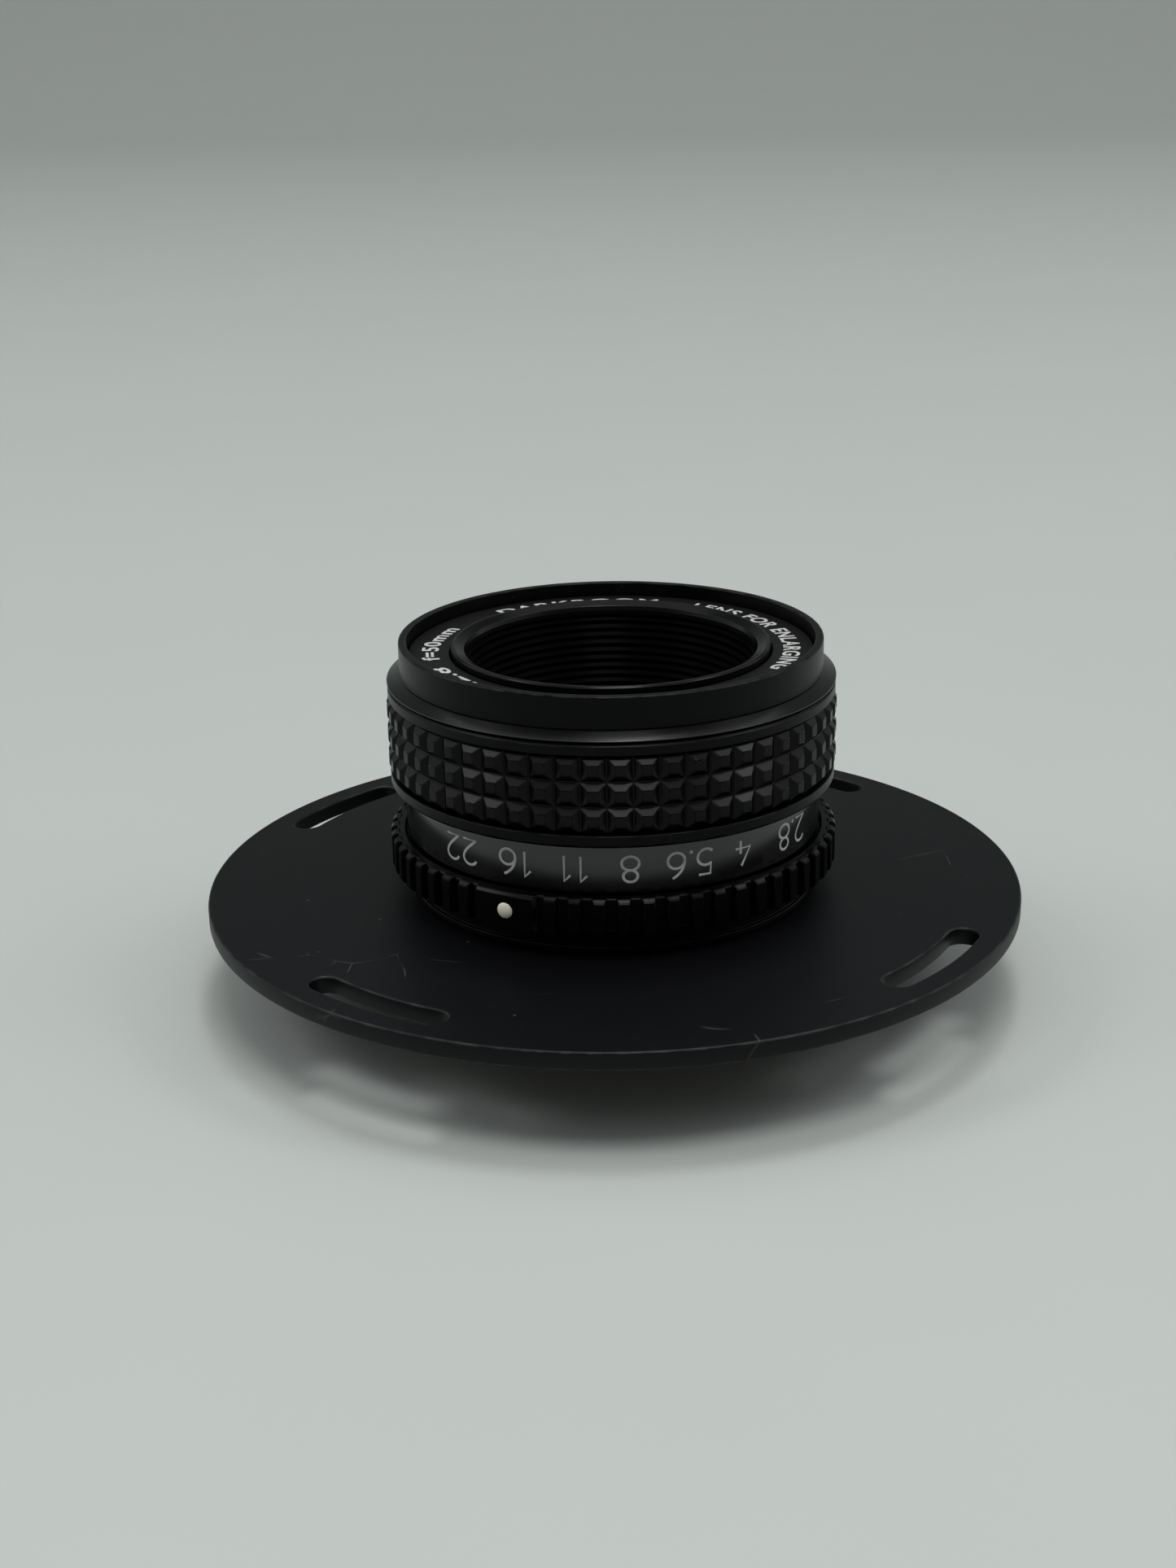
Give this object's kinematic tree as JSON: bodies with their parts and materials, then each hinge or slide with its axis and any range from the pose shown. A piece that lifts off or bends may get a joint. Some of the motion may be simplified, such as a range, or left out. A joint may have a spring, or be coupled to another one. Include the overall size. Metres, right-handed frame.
{
  "type": "enlarger lens",
  "caption": "Enlarging lens with notched index ring, rubber-gripped aperture ring and iris, screwed into a round lens board with four arc slots.",
  "frame": {"origin": "lens axis on the plane that the rear rim rests on", "axes": "+Z along the lens axis towards the front glass, -Y towards the side where f/16 is read beside the index bead"},
  "size_m": [0.092, 0.092, 0.0407],
  "materials": {
    "board_anodised": "satin black anodised, finely scuffed",
    "barrel_black": "satin black",
    "ring_brass": "turned, lightly oxidised",
    "bead_cream": "cream bead",
    "name_black": "matte black with white letters",
    "baffle_black": "matte black, ridged",
    "cell_black": "matte black",
    "lens_glass": "polished and coated",
    "screw_steel": "plain",
    "blade_steel": "blackened",
    "grip_rubber": "matte, raised squares",
    "scale_gloss": "gloss black with grey numbers"
  },
  "bodies": {
    "lens": {"lens_board": "board_anodised", "jam_ring": "ring_brass", "main_barrel": "barrel_black", "index_ring": "barrel_black", "index_bead": "bead_cream", "front_barrel": "barrel_black", "name_ring": "name_black", "front_baffle": "baffle_black", "front_cell": "cell_black", "front_spacer": "cell_black", "front_retainer": "cell_black", "front_element": "lens_glass", "front_doublet_outer": "lens_glass", "front_doublet_inner": "lens_glass", "rear_cell": "barrel_black", "rear_spacer": "cell_black", "rear_retainer": "cell_black", "rear_element": "lens_glass", "rear_doublet_inner": "lens_glass", "rear_doublet_outer": "lens_glass", "iris_plate": "cell_black", "iris_retainer": "cell_black", "click_ball": "screw_steel", "click_spring": "screw_steel"},
    "aperture": {"grip_ring": "barrel_black", "rubber_grip": "grip_rubber", "scale_band": "scale_gloss", "cam_ring": "ring_brass", "drive_screw": "screw_steel"},
    "blade_1": {"iris_blade_1": "blade_steel"},
    "blade_2": {"iris_blade_2": "blade_steel"},
    "blade_3": {"iris_blade_3": "blade_steel"},
    "blade_4": {"iris_blade_4": "blade_steel"},
    "blade_5": {"iris_blade_5": "blade_steel"},
    "blade_6": {"iris_blade_6": "blade_steel"}
  },
  "joints": [
    {"name": "aperture_turn", "type": "hinge", "parent": "lens", "child": "aperture", "pos_m": [0, 0, 0.022], "axis": [0, 0, 1], "range_deg": [-83.2, 16.9]},
    {"name": "blade_1_swing", "type": "hinge", "parent": "lens", "child": "blade_1", "pos_m": [0.015, 0, 0.01646], "axis": [0, 0, 1], "range_deg": [-22.28, 4.92]},
    {"name": "blade_2_swing", "type": "hinge", "parent": "lens", "child": "blade_2", "pos_m": [0.0075, 0.01299, 0.01666], "axis": [0, 0, 1], "range_deg": [-22.28, 4.92]},
    {"name": "blade_3_swing", "type": "hinge", "parent": "lens", "child": "blade_3", "pos_m": [-0.0075, 0.01299, 0.01686], "axis": [0, 0, 1], "range_deg": [-22.28, 4.92]},
    {"name": "blade_4_swing", "type": "hinge", "parent": "lens", "child": "blade_4", "pos_m": [-0.015, 0, 0.01706], "axis": [0, 0, 1], "range_deg": [-22.28, 4.92]},
    {"name": "blade_5_swing", "type": "hinge", "parent": "lens", "child": "blade_5", "pos_m": [-0.0075, -0.01299, 0.01726], "axis": [0, 0, 1], "range_deg": [-22.28, 4.92]},
    {"name": "blade_6_swing", "type": "hinge", "parent": "lens", "child": "blade_6", "pos_m": [0.0075, -0.01299, 0.01746], "axis": [0, 0, 1], "range_deg": [-22.28, 4.92]}
  ],
  "couplings": [
    {"joint": "blade_1_swing", "follows": "aperture_turn", "ratio": 0.26176},
    {"joint": "blade_2_swing", "follows": "aperture_turn", "ratio": 0.26176},
    {"joint": "blade_3_swing", "follows": "aperture_turn", "ratio": 0.26176},
    {"joint": "blade_4_swing", "follows": "aperture_turn", "ratio": 0.26176},
    {"joint": "blade_5_swing", "follows": "aperture_turn", "ratio": 0.26176},
    {"joint": "blade_6_swing", "follows": "aperture_turn", "ratio": 0.26176}
  ]
}
